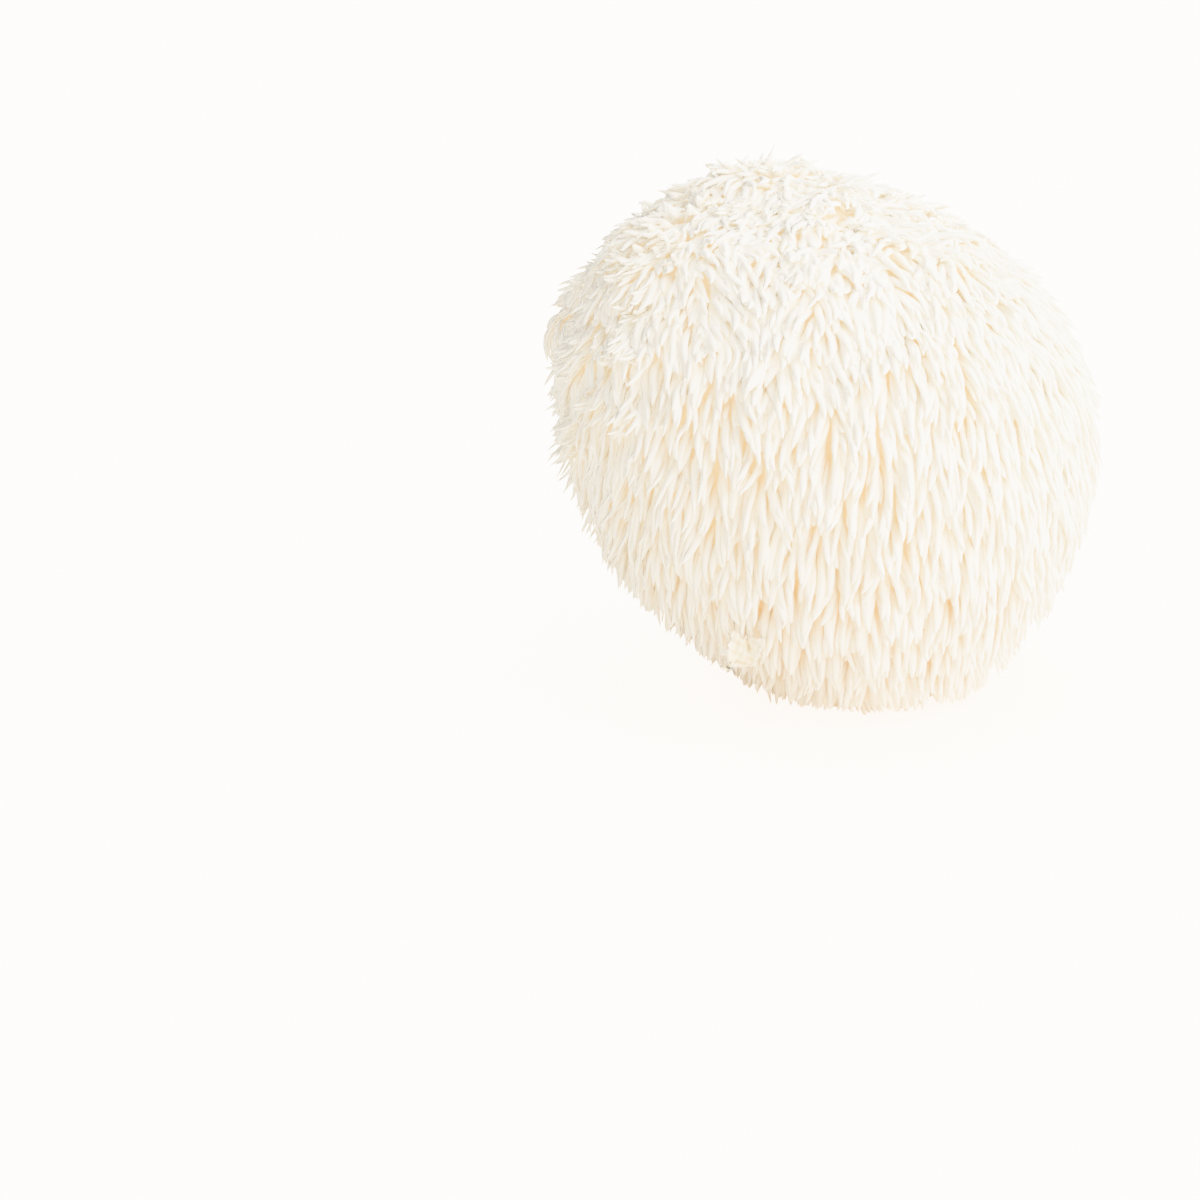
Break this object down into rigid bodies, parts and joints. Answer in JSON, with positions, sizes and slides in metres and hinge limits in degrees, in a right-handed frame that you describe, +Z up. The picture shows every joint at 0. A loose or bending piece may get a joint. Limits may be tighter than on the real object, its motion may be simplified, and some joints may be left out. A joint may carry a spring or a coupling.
{
  "type": "lions mane mushroom",
  "caption": "Ball-shaped edible mushroom fruit body, shaggy all over with hanging cream-white spines, resting on the flat cut where it was taken from the wood.",
  "frame": {"origin": "centre of the flat cut that it rests on", "axes": "+Z up from the cut, -Y towards the side that shows best, +X to that side's right; the ball's long axis leans from +Z towards -X"},
  "size_m": [0.1295, 0.1227, 0.1272],
  "materials": {
    "spines": "matte and faintly waxy, cream-white, warmer tan between the spines"
  },
  "bodies": {
    "root": {"fruit_body": "spines"}
  },
  "joints": []
}
